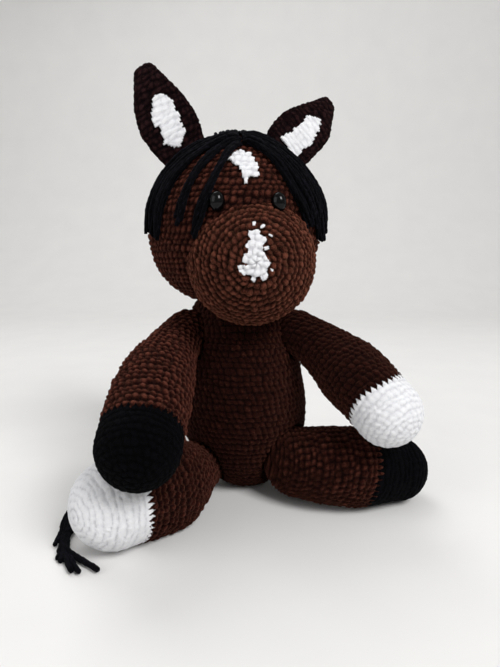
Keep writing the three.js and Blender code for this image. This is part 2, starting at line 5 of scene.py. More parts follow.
import bpy
import numpy as np
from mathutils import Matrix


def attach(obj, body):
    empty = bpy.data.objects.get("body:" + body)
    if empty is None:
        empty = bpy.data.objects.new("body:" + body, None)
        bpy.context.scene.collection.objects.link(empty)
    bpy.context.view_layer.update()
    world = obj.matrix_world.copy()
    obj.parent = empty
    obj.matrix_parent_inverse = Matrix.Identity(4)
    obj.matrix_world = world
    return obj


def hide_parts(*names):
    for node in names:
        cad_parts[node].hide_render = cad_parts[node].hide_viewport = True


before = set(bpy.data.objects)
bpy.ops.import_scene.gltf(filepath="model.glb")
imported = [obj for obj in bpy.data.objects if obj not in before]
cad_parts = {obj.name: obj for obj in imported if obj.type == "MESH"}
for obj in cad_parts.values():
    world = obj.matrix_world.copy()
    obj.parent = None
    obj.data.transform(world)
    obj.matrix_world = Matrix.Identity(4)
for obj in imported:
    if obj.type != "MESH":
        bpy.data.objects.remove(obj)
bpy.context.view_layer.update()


# CAMERA, FLOOR AND LIGHT
# The horse sits on a pale seamless floor that curves up into a wall, and is seen from the front at the height
# of its muzzle. Three large soft lamps and an even sky light it.
MM = 0.001      # metres


def cells(i, j, columns):
    """The faces of a grid between rows i and i + 1 and columns j and j + 1, where the last column meets the
    first. Points are numbered along the rows."""
    k = (j + 1) % columns
    return np.stack([i * columns + j, i * columns + k, (i + 1) * columns + k, (i + 1) * columns + j], -1)


def shaped(name, points, faces, painted_shading):
    """An object of smooth faces from points in mm, with a number for each point kept as an attribute: the
    share of painted shade and painted highlight in the yarn's colour."""
    mesh = bpy.data.meshes.new(name)
    mesh.from_pydata((points * MM).tolist(), [], faces)
    mesh.polygons.foreach_set("use_smooth", np.ones(len(mesh.polygons), bool))
    mesh.attributes.new("painted_shading", "FLOAT", "POINT").data.foreach_set("value", painted_shading.astype(np.float32))
    piece = bpy.data.objects.new(name, mesh)
    bpy.context.scene.collection.objects.link(piece)
    return piece


def surface(name, grid, share=None, closed=True):
    """A mesh from a grid of points (rows, columns, 3) in mm: row i and column j make a face with the next row
    and the next column. Where it is closed, its last column meets the first, each end row has a fan from its
    mean, and the faces are turned outwards: the sum of a dot b cross c over their triangles is above 0. share
    is the attribute of painted shade and painted highlight, about 0 to 1."""
    rows, columns = grid.shape[:2]
    points = grid.reshape(-1, 3)
    painted_shading = np.zeros(rows * columns) if share is None else share.ravel()
    i, j = np.meshgrid(np.arange(rows - 1), np.arange(columns - (not closed)), indexing="ij")
    faces = cells(i, j, columns).reshape(-1, 4).tolist()
    if closed:
        ring, after = np.arange(columns), np.roll(np.arange(columns), -1)
        for first, near, far in ((0, after, ring), ((rows - 1) * columns, ring, after)):
            pole = len(points)
            points = np.concatenate([points, points[first:first + columns].mean(0, keepdims=True)])
            painted_shading = np.concatenate([painted_shading, painted_shading[first:first + columns].mean(keepdims=True)])
            faces += np.stack([first + near, first + far, np.full(columns, pole)], -1).tolist()
        corners = np.array([f[:3] for f in faces] + [[f[0], f[2], f[3]] for f in faces if len(f) == 4])
        a, b, c = (points[corners[:, n]] for n in range(3))
        if np.einsum("ij,ij->", a, np.cross(b, c)) < 0:
            faces = [f[::-1] for f in faces]
    return shaped(name, points, faces, painted_shading)


def linear(text):
    """An sRGB hex colour as linear red, green, blue and alpha: each channel by the sRGB curve."""
    channels = [int(text[n:n + 2], 16) / 255 for n in (0, 2, 4)]
    return [c / 12.92 if c <= 0.04045 else ((c + 0.055) / 1.055) ** 2.4 for c in channels] + [1.0]


def add(material, kind, settings, links=()):
    """Adds a node of a kind to a material. settings set its properties or its input sockets, by name or
    number, and links join its inputs to other nodes' outputs."""
    node = material.node_tree.nodes.new(kind)
    for key, value in settings.items():
        if isinstance(key, int) or key in node.inputs:
            node.inputs[key].default_value = value
        else:
            setattr(node, key, value)
    for key, output in dict(links).items():
        material.node_tree.links.new(output, node.inputs[key])
    return node


def blank(name):
    """A new material with an empty node tree."""
    material = bpy.data.materials.new(name)
    material.use_nodes = True
    material.node_tree.nodes.clear()
    return material


# Uncoated backdrop paper off a roll: pale, and so matt that it shows no lamp, with faint clouds 70 mm across
paper = blank("pale matt paper")
paper_grain = add(paper, "ShaderNodeTexNoise", {"Scale": 1 / (70 * MM), "Detail": 3.0},
                  {"Vector": add(paper, "ShaderNodeTexCoord", {}).outputs["Object"]})
paper_colour = add(paper, "ShaderNodeValToRGB", {}, {"Fac": paper_grain.outputs["Fac"]})
paper_colour.color_ramp.elements[0].color = linear("dcdbda")
paper_colour.color_ramp.elements[1].color = linear("e3e2e0")
paper_face = add(paper, "ShaderNodeBsdfPrincipled", {"Roughness": 0.9, "Specular IOR Level": 0.2},
                 {"Base Color": paper_colour.outputs["Color"]})
add(paper, "ShaderNodeOutputMaterial", {}, {"Surface": paper_face.outputs["BSDF"]})

# The paper's line from the front: straight back, up a quarter round, then straight up. It is swept across.
floor_front, floor_end, sweep_radius, wall_high, floor_half = -2600, 1000, 700, 2200, 3200
floor_share, wall_share = 0.4, 0.4      # of the rows; the quarter round has the rest
sweep = np.linspace(0, 1, 80)[:, None]
bend = np.clip((sweep - floor_share) / (1 - floor_share - wall_share), 0, 1) * math.pi / 2
floor_back = np.where(sweep < floor_share, floor_front + sweep / floor_share * (floor_end - floor_front),
                      floor_end + sweep_radius * np.sin(bend))
floor_high = (sweep_radius * (1 - np.cos(bend))
              + np.clip(sweep - 1 + wall_share, 0, 1) / wall_share * wall_high)
floor_across = np.linspace(-floor_half, floor_half, 60)
floor_grid = np.stack(np.broadcast_arrays(floor_across, floor_back, floor_high), -1)
floor = surface("floor", floor_grid[::-1], closed=False)
floor.data.materials.append(paper)

# Each lamp's place and side in metres, and its power. The key lamp is high at the front, the fill lamp low at
# the front on the other side, and the back lamp high behind. All point at the horse's neck.
lamps = {"key lamp": ((1.0, -1.2, 1.5), 0.8, 35.0), "fill lamp": ((-1.3, -0.9, 0.9), 1.3, 8.5),
         "back lamp": ((-0.4, 0.7, 1.65), 1.0, 9.5)}
neck_place = (0, 0, 0.15)
for lamp_name, (place, side, power) in lamps.items():
    lamp = bpy.data.lights.new(lamp_name, "AREA")
    lamp.energy, lamp.size = power, side
    lamp_at = bpy.data.objects.new(lamp_name, lamp)
    lamp_at.location = place
    aim = neck_place - np.array(place)
    lamp_at.rotation_euler = (math.acos(-aim[2] / np.linalg.norm(aim)), 0, math.atan2(-aim[0], aim[1]))
    bpy.context.scene.collection.objects.link(lamp_at)
sky = bpy.data.worlds.new("even sky")
sky.use_nodes = True
sky.node_tree.nodes["Background"].inputs["Color"].default_value = linear("ffffff")
sky.node_tree.nodes["Background"].inputs["Strength"].default_value = 0.38
bpy.context.scene.world = sky
bpy.context.scene.view_settings.view_transform = "Standard"

# The camera looks along +Y and 9 degrees down, and the 24 mm of its sensor are the picture's height
camera = bpy.data.cameras.new("camera")
camera.sensor_width, camera.lens, camera.clip_start = 24.0, 18.71, 0.01
camera_at = bpy.data.objects.new("camera", camera)
camera_at.location = (0.003, -0.3832, 0.1740)
camera_at.rotation_euler = (math.radians(90 - 9), 0, 0)
bpy.context.scene.collection.objects.link(camera_at)
bpy.context.scene.camera = camera_at


# BODY
# A stuffed pear of thick chenille yarn, worked in rounds of single crochet from the seat up. The seat's first
# rounds lie flat, the limbs press their round ends into it, and its top is a dome that the head sits on.
STITCH_WIDE, ROUND_HIGH, RELIEF = 4.3, 4.1, 2.0
ACROSS, ALONG = 6, 6          # grid points to a stitch and to a round
dome_middle = np.array([-4.0, -3.0, 100.0])


def smooth(t):
    """0 below 0, 1 above 1, and 3 t squared less 2 t cubed between."""
    t = np.clip(t, 0, 1)
    return t * t * (3 - 2 * t)


def unit(vectors):
    """Each vector over its length."""
    return vectors / np.linalg.norm(vectors, axis=-1, keepdims=True)


def run_along(points):
    """The way from the first of a line of points to each of them: the sum of the steps between."""
    return np.concatenate([[0], np.cumsum(np.linalg.norm(np.diff(points, axis=0), axis=1))])


def round_about(count):
    """Angles round a full turn, as many as a ring has points."""
    return np.arange(count) / count * 2 * math.pi


def outward(grid):
    """Unit normals of a grid that goes round about: the cross product of the steps along its rows and round
    its columns, turned away from the grid's middle."""
    down = np.gradient(grid, axis=0)
    around = np.roll(grid, -1, 1) - np.roll(grid, 1, 1)
    normal = np.cross(down, around)
    normal /= np.linalg.norm(normal, axis=-1, keepdims=True) + 1e-9
    return normal * np.sign(np.einsum("ijk,ijk->", normal, grid - grid.mean((0, 1))))


def speckle(shape, seed, passes):
    """Soft noise from -1 to 1: seeded random numbers, averaged with their neighbours a few times, over 2.5
    times their standard deviation."""
    noise = np.random.default_rng(seed).normal(size=shape)
    for _ in range(passes):
        noise = sum([np.roll(noise, step, axis) for axis in (0, 1) for step in (1, -1)], noise) / 5
    return np.clip(noise / (noise.std() * 2.5), -1, 1)


def scatter(a, b, seed):
    """A number from -1 to 1 for each pair of whole numbers: the fraction of a large sine, stretched."""
    return 2 * ((np.sin(a * 12.9898 + b * 78.233 + seed * 3.7) * 43758.5453) % 1) - 1


def stitches(grid, rounds, seed, wide, split, loose):
    """The relief of single crochet on a grid. rounds is how many rounds each row, or each point, is from
    the start, and they wave: an eighth of a round up and down 3 times about, and a twelfth 8 times. A round
    has its length over the stitch width, in whole stitches. It starts half a stitch on from the last, and
    up to 0.45 off that, and its stitches slant by a third. With p and q the distances from a stitch's middle
    across and along the round, in half stitches and to the power 2.3, its bead is the root of 1 less p less
    q. The split is the beads' share, and a ridge, the root of 1 less q, has the rest. Each bead is tilted,
    shifted, and up to a quarter higher or lower, all times loose. Returns the height, the roundness, which
    is 1 less p less q, the round and the stitch."""
    about = np.arange(grid.shape[1]) / grid.shape[1]
    rounds = rounds.reshape(len(grid), -1)
    wave = 0.13 * np.sin(2 * math.pi * (3 * about + 0.31 * rounds + 0.1 * seed))
    wave += 0.08 * np.sin(2 * math.pi * (8 * about - 0.17 * rounds))
    length = np.linalg.norm(np.roll(grid, -1, 1) - grid, axis=-1).sum(1)
    whole = np.floor(rounds.mean(1)).astype(int)
    counts = np.array([max(6, round(length[whole == n].mean() / wide)) for n in range(whole.max() + 1)])
    waved = np.clip(rounds + wave * smooth(rounds / 3), 0, whole.max() + 0.99)
    turn = np.floor(waved).astype(int)
    along = waved - turn - 0.5
    at = about * counts[turn] + 0.5 * turn + 0.45 * scatter(turn, 0, seed) + 0.35 * along
    stitch = np.floor(at) % counts[turn]
    across = at - np.floor(at) - 0.5
    tilt, aside, ahead = (loose * size * scatter(stitch, turn, seed + n)
                          for n, size in enumerate((0.6, 0.11, 0.12)))
    across, along = across + tilt * along + aside, along - tilt * across + ahead
    p, q = np.abs(2 * across) ** 2.3, np.abs(2 * along) ** 2.3
    roundness = np.clip(1 - p - q, 0, 1)
    height = split * np.sqrt(roundness) + (1 - split) * np.sqrt(np.clip(1 - q, 0, 1))
    return height * (1 + 0.25 * loose * scatter(stitch, turn, seed + 3)), roundness, turn, stitch


def crochet(grid, rounds, seed, relief=RELIEF, wide=STITCH_WIDE, split=0.9, fuzz=0.22, loose=1.0):
    """A grid raised by its stitches: each point moves along its normal by the stitch height times the
    relief, less two thirds of the relief, and by the fuzz of the yarn, which is noise from point to point
    and noise over a few points, less of it where points lie closer than half a mm. The share for colour is
    half the height, a half that goes from the height to the roundness with the split, and some of that
    noise: painted shade between the stitches and painted highlight on their crowns, with tone that differs
    at random."""
    height, roundness, turn, stitch = stitches(grid, rounds, seed, wide, split, loose)
    normal = outward(grid)
    apart = np.linalg.norm(np.roll(grid, -1, 1) - grid, axis=-1).mean(1, keepdims=True)
    calm = np.clip(apart / 0.5, 0, 1)
    fine, coarse = speckle(height.shape, seed, 0) * calm, speckle(height.shape, seed + 1, 3) * calm
    raised = grid + normal * (relief * (height - 0.66) + fuzz * (fine + coarse))[..., None]
    painted_shading = split * roundness + (1 - split) * height
    # The share for colour: painted shade between the stitches, painted highlight on their crowns, random tone
    colour = np.clip(0.5 * height + 0.5 * painted_shading + 0.16 * fine + 0.22 * coarse, 0, 1.2)
    return raised, colour, normal, turn, stitch


def press(grid, middle, balls):
    """Presses balls into a grid: on the straight line from a middle to each point, the point goes back to
    where the line enters the ball."""
    for centre, radius in balls:
        line = grid - middle
        from_ball = middle - np.asarray(centre)
        a = (line ** 2).sum(-1)
        b = (line * from_ball).sum(-1)
        c = (from_ball ** 2).sum(-1) - radius ** 2
        root = b * b - a * c
        enters = (-b - np.sqrt(np.maximum(root, 0))) / a
        hit = (root > 0) & (enters > 0) & (enters < 1)
        grid = np.where(hit[..., None], middle + line * enters[..., None], grid)
    return grid


# The limbs. A middle line runs from the root, which is the pivot where none is given, over a bow to the
# middle of the hoof. ball, belly and end are the radii at the root, in the middle and at the hoof, and
# swell is the share of the length over which the ball grows to the belly. The hoof's yarn begins hoof_back
# before the line's end. swing is the joint's, in degrees. shade is painted shade: it scales how much of the
# yarn's lighter colours shows, lowest on the far arm, which lies in shadow. relief is the height of the
# stitches, and beads the beads' share in the hoof.
limbs = {
    "right_arm": dict(pivot=(-41, -19, 117.5), bow=(-57.5, -52, 105), hoof=(-57, -116, 69.5),
                      ball=16.5, belly=24.5, end=23.5, swell=0.7, hoof_back=8, swing=-30,
                      shade=1.0, relief=2.0, beads=0.5),
    "left_arm": dict(pivot=(36, -19, 117.5), bow=(63.5, -34, 104), hoof=(89.5, -68, 74),
                     ball=16.5, belly=23.4, end=21.7, swell=0.65, hoof_back=8, swing=-30,
                     shade=0.5, relief=1.2, beads=0.5),
    "right_leg": dict(pivot=(-37.4, -13.3, 26), root=(-35, -24, 19), bow=(-47, -64, 25),
                      hoof=(-77, -95, 26.7), ball=19, belly=30.5, end=26.3, swell=0.55, hoof_back=6,
                      swing=40, shade=0.75, relief=2.0, beads=0.15),
    "left_leg": dict(pivot=(35.2, -13.3, 26), root=(37, -29, 25), bow=(60, -54, 32),
                     hoof=(105, -35, 22.7), ball=25.5, belly=27.5, end=22.3, swell=0.4, hoof_back=23,
                     swing=40, shade=0.85, relief=1.5, beads=0.15),
}


def limb_line(limb, distance):
    """Points and directions at distances along a limb's quadratic curve, measured by its length in 400 steps,
    and straight on past its ends, and the curve's length."""
    root, bow, hoof = (np.array(place, float)
                       for place in (limb.get("root", limb["pivot"]), limb["bow"], limb["hoof"]))
    t = np.linspace(0, 1, 401)[:, None]
    curve = (1 - t) ** 2 * root + 2 * t * (1 - t) * bow + t ** 2 * hoof
    slope = unit(2 * (1 - t) * (bow - root) + 2 * t * (hoof - bow))
    run = run_along(curve)
    held = np.clip(distance, 0, run[-1])
    centre, along = (np.stack([np.interp(held, run, values[:, n]) for n in range(3)], -1)
                     for values in (curve, slope))
    along = unit(along)
    return centre + along * (distance - held)[..., None], along, run[-1]


def limb_radius(limb, distance, length):
    """The ball's radius, swelling to the belly's over the swell's share of the length, then tapering to the
    hoof's over the last half."""
    swell = smooth(distance / (length * limb["swell"]))
    taper = smooth((distance - length / 2) / (length / 2))
    return limb["ball"] + (limb["belly"] - limb["ball"]) * swell + (limb["end"] - limb["belly"]) * taper


def turned(points, pivot, axis, degrees):
    """Points turned round an axis through a pivot: the part along the axis stays, and the rest turns."""
    axis = unit(np.asarray(axis, float))
    arm, angle = points - pivot, math.radians(degrees)
    return (pivot + arm * math.cos(angle) + np.cross(axis, arm) * math.sin(angle)
            + np.outer(arm @ axis, axis).reshape(arm.shape) * (1 - math.cos(angle)))


# The dents: balls along the first part of each limb, with room round them, at five places of its swing
dent_long, dent_room = 48, 1.2
dents = []
for limb in limbs.values():
    for step in np.linspace(0, dent_long, 9):
        centre, _, length = limb_line(limb, np.array([step]))
        radius = float(limb_radius(limb, step, length)) + dent_room
        dents += [(turned(centre[0], np.array(limb["pivot"]), (1, 0, 0), limb["swing"] * share), radius)
                  for share in np.linspace(0, 1, 5)]

# The profile: a flat seat, a squashed ball up to the widest round, a side that draws in, a shoulder, the dome
body_wide, body_wide_high, seat_wide = 47.2, 62.0, 15.5
side_top, side_in, shoulder, dome_radius = 112, 5, 41, 50
body_deep = body_wide_high / math.sqrt(1 - (seat_wide / body_wide) ** 2)
belly_angle = np.linspace(math.asin(body_wide_high / body_deep), 0, 60)
side_high = np.linspace(body_wide_high, side_top, 30)[1:]
side_radius = body_wide - side_in * smooth((side_high - body_wide_high) / (side_top - body_wide_high))
shoulder_angle = np.linspace(0, math.pi / 2, 60)[1:]
shoulder_radius = shoulder * np.cos(shoulder_angle)
dome_high = dome_middle[2] + np.sqrt(dome_radius ** 2 - shoulder_radius ** 2)
body_radius = np.concatenate([[0.5, 8], body_wide * np.cos(belly_angle), side_radius, shoulder_radius])
body_high = np.concatenate([[0, 0], body_wide_high - body_deep * np.sin(belly_angle), side_high,
                            np.minimum(side_top + shoulder * np.sin(shoulder_angle), dome_high)])
body_run = run_along(np.stack([body_radius, body_high], -1))
body_rows = np.arange(0, body_run[-1], ROUND_HIGH / ALONG)
body_radius = np.interp(body_rows, body_run, body_radius)
body_high = np.interp(body_rows, body_run, body_high)
body_lean = smooth(body_high / dome_middle[2])
body_middle = np.stack([dome_middle[0] * body_lean, dome_middle[1] * body_lean, body_high], -1)[:, None]
body_turn = round_about(ACROSS * round(2 * math.pi * body_wide / STITCH_WIDE))
body_grid = body_middle + body_radius[:, None, None] * np.stack(
    [np.cos(body_turn), np.sin(body_turn), np.zeros(len(body_turn))], -1)
body_grid = press(body_grid, body_middle, dents)
body_grid, body_painted_shading, *_ = crochet(body_grid, body_rows / ROUND_HIGH, 1, relief=1.2)

# The stitches lie flat on the floor and under the head
seat_low, dome_reach, body_painted_shade = 0.15, 50.3, 0.62
body_grid[..., 2] = np.maximum(body_grid[..., 2], seat_low)
body_reach = np.linalg.norm(body_grid - dome_middle, axis=-1, keepdims=True)
body_dome = dome_middle + (body_grid - dome_middle) * np.minimum(1, dome_reach / body_reach)
body_grid = np.where(body_grid[..., 2:] > side_top, body_dome, body_grid)
# The body's colour share is scaled down: painted shade, for the shadow that the head casts on it
body = surface("body", body_grid, share=body_painted_shade * body_painted_shading)


# Chenille yarn: a core with short velvet fuzz all round. Its colour has painted shade between the stitches
# and a lighter, warmer painted highlight on the crown of each stitch. It glows a little at grazing angles.
def chenille(name, gap, middle, crown, glow, glow_weight):
    """A chenille material: the mesh's attribute of painted shade and highlight, plus weighted noise at 3 mm
    for the clumps and at 0.7 mm for the tufts, picks a colour from gap to crown: painted shade in the gaps,
    painted highlight on the crowns, and tone that differs at random. The tufts also roughen the surface. The
    real tufts are about 0.2 mm apart, and are drawn coarser so that they show."""
    clump_size, tuft_size, clump_weight, tuft_weight = 3 * MM, 0.7 * MM, 0.7, 1.5
    yarn = blank(name)
    place = add(yarn, "ShaderNodeTexCoord", {}).outputs["Object"]
    clumps = add(yarn, "ShaderNodeTexNoise", {"Scale": 1 / clump_size, "Detail": 2.0}, {"Vector": place})
    tufts = add(yarn, "ShaderNodeTexNoise", {"Scale": 1 / tuft_size, "Detail": 3.0, "Roughness": 0.7},
                {"Vector": place})
    painted_shading = add(yarn, "ShaderNodeAttribute", {"attribute_name": "painted_shading"}).outputs["Fac"]
    clumped = add(yarn, "ShaderNodeMath", {"operation": "MULTIPLY_ADD", 1: clump_weight},
                  {0: clumps.outputs["Fac"], 2: painted_shading})
    tufted = add(yarn, "ShaderNodeMath", {"operation": "MULTIPLY_ADD", 1: tuft_weight},
                 {0: tufts.outputs["Fac"], 2: clumped.outputs[0]})
    shade = add(yarn, "ShaderNodeMapRange", {"From Min": 1.15, "From Max": 2.35},
                {"Value": tufted.outputs[0]})
    colour = add(yarn, "ShaderNodeValToRGB", {}, {"Fac": shade.outputs["Result"]})
    colour.color_ramp.elements[0].color = linear(gap)
    colour.color_ramp.elements[1].color = linear(crown)
    colour.color_ramp.elements.new(0.5).color = linear(middle)
    bump = add(yarn, "ShaderNodeBump", {"Strength": 1.0, "Distance": MM}, {"Height": tufts.outputs["Fac"]})
    face = add(yarn, "ShaderNodeBsdfPrincipled",
               {"Roughness": 0.95, "Specular IOR Level": 0.05, "Sheen Weight": glow_weight,
                "Sheen Roughness": 0.45, "Sheen Tint": linear(glow)},
               {"Base Color": colour.outputs["Color"], "Normal": bump.outputs["Normal"]})
    add(yarn, "ShaderNodeOutputMaterial", {}, {"Surface": face.outputs["BSDF"]})
    return yarn


brown_chenille = chenille("dark brown chenille yarn", "040000", "220b07", "593025", "a06250", 0.36)
body.data.materials.append(brown_chenille)
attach(body, "torso")
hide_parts("body_cover", "body_stuffing")


# JOINT YARNS
# Two strands of black yarn, one through both arms and one through both legs, each with a knot at its ends, so
# that the limbs swing. A thinner brown yarn runs round the neck, where the head is sewn on.
def sides(along, up):
    """Two unit directions square to each direction along: the first is square to up too, the second to it."""
    side = unit(np.cross(along, up))
    return side, np.cross(side, along)


def rings(side, top, count):
    """A unit circle at each place: the cosine of the angle times side plus the sine times top."""
    angle = round_about(count)
    return np.cos(angle)[None, :, None] * side[:, None] + np.sin(angle)[None, :, None] * top[:, None]


def strand(path, radius, plies, twist):
    """Plies laid round a path: each ply's middle circles the path at half the radius, once every twist mm."""
    side, top = sides(unit(np.gradient(path, axis=0)), (0.1, 0.2, 1.0))
    tubes = []
    for ply in range(plies):
        phase = (run_along(path) / twist * 2 * math.pi + ply / plies * 2 * math.pi)[:, None]
        middle = path + radius / 2 * (np.cos(phase) * side + np.sin(phase) * top)
        tubes.append(middle[:, None] + radius / 2 * rings(side, top, 8))
    return tubes


def joined(name, tubes, shares=None):
    """One object of many closed tubes: each is made as its own surface, and the meshes are joined."""
    made = [surface(f"{name}_{n}", tube, None if shares is None else shares[n])
            for n, tube in enumerate(tubes)]
    with bpy.context.temp_override(active_object=made[0], selected_editable_objects=made):
        bpy.ops.object.join()
    made[0].name = made[0].data.name = name
    return made[0]


# A knot is a small trefoil: a circle whose radius swells by the cosine of 1.5 times the angle, over two turns
knot_angle = np.linspace(0, 4 * math.pi, 60)
knot_reach = 0.6 * (2 + np.cos(1.5 * knot_angle))
knot = np.stack([0.9 * np.sin(0.75 * knot_angle), knot_reach * np.cos(knot_angle),
                 knot_reach * np.sin(knot_angle)], -1)

# Black chenille pulled through the stuffing: its pile is pressed flat, so it hardly glows
black_yarn = chenille("black chenille yarn", "000001", "020203", "08080c", "3a3a50", 0.05)
for yarn_name, ends in (("arm_yarn", ("right_arm", "left_arm")), ("leg_yarn", ("right_leg", "left_leg"))):
    start, stop = (np.array(limbs[key]["pivot"], float) for key in ends)
    tubes = strand(start + np.linspace(0, 1, 120)[:, None] * (stop - start), radius=1.15, plies=2, twist=6.0)
    for place in (start, stop):
        tubes += strand(place + knot, radius=0.8, plies=1, twist=9.0)
    cord = joined(yarn_name, tubes)
    cord.data.materials.append(black_yarn)
    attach(cord, "torso")
    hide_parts(yarn_name.replace("_", "_joint_"))

# The seam yarn lies in a ring on the dome, at its reach from the dome's middle
seam_radius, seam_reach = 24, 51.2
seam_turn = np.linspace(0, 2 * math.pi, 140)
seam_high = dome_middle[2] + math.sqrt(seam_reach ** 2 - seam_radius ** 2)
seam_path = np.stack(np.broadcast_arrays(dome_middle[0] + seam_radius * np.cos(seam_turn),
                                         dome_middle[1] + seam_radius * np.sin(seam_turn), seam_high), -1)
seam = joined("neck_seam", strand(seam_path, radius=0.75, plies=2, twist=4.0))
seam.data.materials.append(brown_chenille)
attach(seam, "neck")
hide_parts("neck_seam_yarn")


# ARMS AND LEGS
# Stuffed tubes worked in rounds from the hoof up, black or white for the first rounds and brown after that.
# The colour changes in the middle of a stitch, so its edge is toothed. The round end turns in its dent in
# the body.
def limb_grid(limb):
    """A limb's outer surface: quarter circles at both ends, the tube between, and 1.1 mm less at the joint,
    over the first 50 mm. Rows are evenly spaced along the profile from the joint's pole. Returns the grid,
    the rows' rounds, each row's distance along the line, and the line's length."""
    inset, inset_full, inset_gone, pole = 1.1, 30, 50, 0.3
    length = limb_line(limb, np.zeros(1))[2]
    ball, end = limb["ball"] - inset, limb["end"]
    total = ball * math.pi / 2 + length + end * math.pi / 2
    rows = np.arange(pole, total - pole, ROUND_HIGH / ALONG)
    first, last = rows / ball, (rows - ball * math.pi / 2 - length) / end
    tube = rows - ball * math.pi / 2
    past = np.where(last > 0, length + end * np.sin(last), tube)
    distance = np.where(tube < 0, -ball * np.cos(first), past)
    grown = smooth((tube - inset_full) / (inset_gone - inset_full))
    swell = limb_radius(limb, tube, length) - inset * (1 - grown)
    radius = np.where(tube < 0, ball * np.sin(first), np.where(last > 0, end * np.cos(last), swell))
    centre, along, _ = limb_line(limb, distance)
    side, top = sides(along, (0, 0, 1.0))
    ring = rings(side, top, ACROSS * round(2 * math.pi * limb["belly"] / STITCH_WIDE))
    return centre[:, None] + radius[:, None, None] * ring, (total - rows) / ROUND_HIGH, distance, length


# The same yarn dyed for the hooves. On the white the painted shade in the gaps is faint, so its stitches
# look soft. Black yarn swallows the light, and shows its stitches only by a thin cool glow.
white_chenille = chenille("white chenille yarn", "dadade", "eeeef1", "f8f8fa", "ffffff", 0.05)
black_chenille = chenille("black hoof chenille yarn", "000001", "010102", "050508", "383848", 0.04)
hoof_yarn = {"right_arm": black_chenille, "left_arm": white_chenille,
             "right_leg": white_chenille, "left_leg": black_chenille}

# At the change of colour each piece sinks by the tuck under the other, over a share of a round, and goes on
# for about two rounds. The change has a tooth for each stitch and three slow waves about.
tuck, tuck_share, cover_lap, hoof_lap, limb_low = 2.4, 0.4, 2.2, 2.0, 0.25
tooth_high, wave_high = 0.95, 0.3
for seed, (limb_name, limb) in enumerate(limbs.items()):
    grid, rounds, distance, length = limb_grid(limb)
    # Where the limb bends, its outer side has more rounds than its inner side
    steps = np.linalg.norm(np.diff(grid, axis=0, append=grid[-1:]), axis=-1)
    local_rounds = np.cumsum(steps[::-1], axis=0)[::-1] / ROUND_HIGH
    raised, painted_shading, normal, *_ = crochet(grid, local_rounds, 10 + 2 * seed, limb["relief"])
    hoof_raised, hoof_painted_shading, *_ = crochet(grid, local_rounds, 11 + 2 * seed, relief=0.8, split=limb["beads"],
                                         loose=0.4)
    raised[..., 2] = np.maximum(raised[..., 2], limb_low)
    hoof_raised[..., 2] = np.maximum(hoof_raised[..., 2], limb_low)
    change = np.interp(length - limb["hoof_back"], distance, rounds)
    columns = grid.shape[1]
    around = np.arange(columns) / columns
    tooth = (tooth_high * np.abs(2 * (around * columns / ACROSS % 1) - 1)
             + wave_high * np.sin(2 * math.pi * around * 3 + seed))
    past = change + tooth - rounds[:, None]       # in rounds, above 0 on the hoof's side
    keep = np.flatnonzero(past.max(1) < cover_lap)
    sunk = raised - normal * tuck * smooth(past / tuck_share)[..., None]
    # The cover's colour share is scaled by the limb's shade: painted shade
    cover = surface(limb_name, sunk[keep], limb["shade"] * painted_shading[keep])
    cover.data.materials.append(brown_chenille)
    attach(cover, limb_name)
    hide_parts(limb_name + "_cover", limb_name + "_stuffing")
    keep = np.flatnonzero(past.min(1) > -hoof_lap)
    sunk = hoof_raised - normal * tuck * smooth(-past / tuck_share)[..., None]
    hoof = surface(limb_name + "_hooftip", sunk[keep], hoof_painted_shading[keep])
    hoof.data.materials.append(hoof_yarn[limb_name])
    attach(hoof, limb_name)
    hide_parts(limb_name + "_hoof")


# HEAD
# A stuffed ball in the same brown yarn, turned a little to the horse's left and hollowed below, where it sits
# on the body's dome and is sewn on. A white star is worked into its forehead.
head_middle, head_radius, head_turn = np.array([-8.0, -10.0, 194.5]), 59.5, 10.0
head_hollow = [(dome_middle, 53.9)]      # the dome, with room for the stitches and the seam yarn


def about_upright(local, degrees):
    """Places turned about the upright: x and y mixed by the cosine and the sine of the angle."""
    c, s = math.cos(math.radians(degrees)), math.sin(math.radians(degrees))
    local = np.asarray(local, float)
    x, y, z = local[..., 0], local[..., 1], local[..., 2]
    return np.stack([c * x - s * y, s * x + c * y, z], -1)


def on_head(local):
    """Places given from the head's middle (horse's left, back, up), turned with the head and moved to it."""
    return about_upright(local, head_turn) + head_middle


def pear(local):
    """Places round the head, as its stuffing settled: above the middle up to a share of 0.055 lower and 0.1
    narrower, and below it up to 0.13 wider."""
    lower, narrower, wider = 0.055, 0.1, 0.13
    above, below = smooth(local[..., 2] / head_radius), smooth(-local[..., 2] / head_radius)
    wide = 1 - narrower * above + wider * below
    return local * np.stack([wide, np.ones(above.shape), 1 - lower * above], -1)


def ball_rounds(radius, reach):
    """A ball worked in rounds from its pole to a reach in mm down its side: the way to each row, each row's
    angle from the pole, which is the way over the radius, and the angles round about."""
    rows = np.arange(0.4, reach, ROUND_HIGH / ALONG)
    return rows, (rows / radius)[:, None], round_about(ACROSS * round(2 * math.pi * radius / STITCH_WIDE))


def inside(x, y, outline):
    """Whether points lie in an outline: how often a line to the right crosses its sides, odd or even."""
    crossed = np.zeros(x.shape, bool)
    for (x0, y0), (x1, y1) in zip(outline, outline[1:] + outline[:1]):
        if y0 != y1:
            crossed ^= ((y0 > y) != (y1 > y)) & (x < (x1 - x0) * (y - y0) / (y1 - y0) + x0)
    return crossed


AWAY = 999.0      # marks the points of a grid that face away from an outline's plane


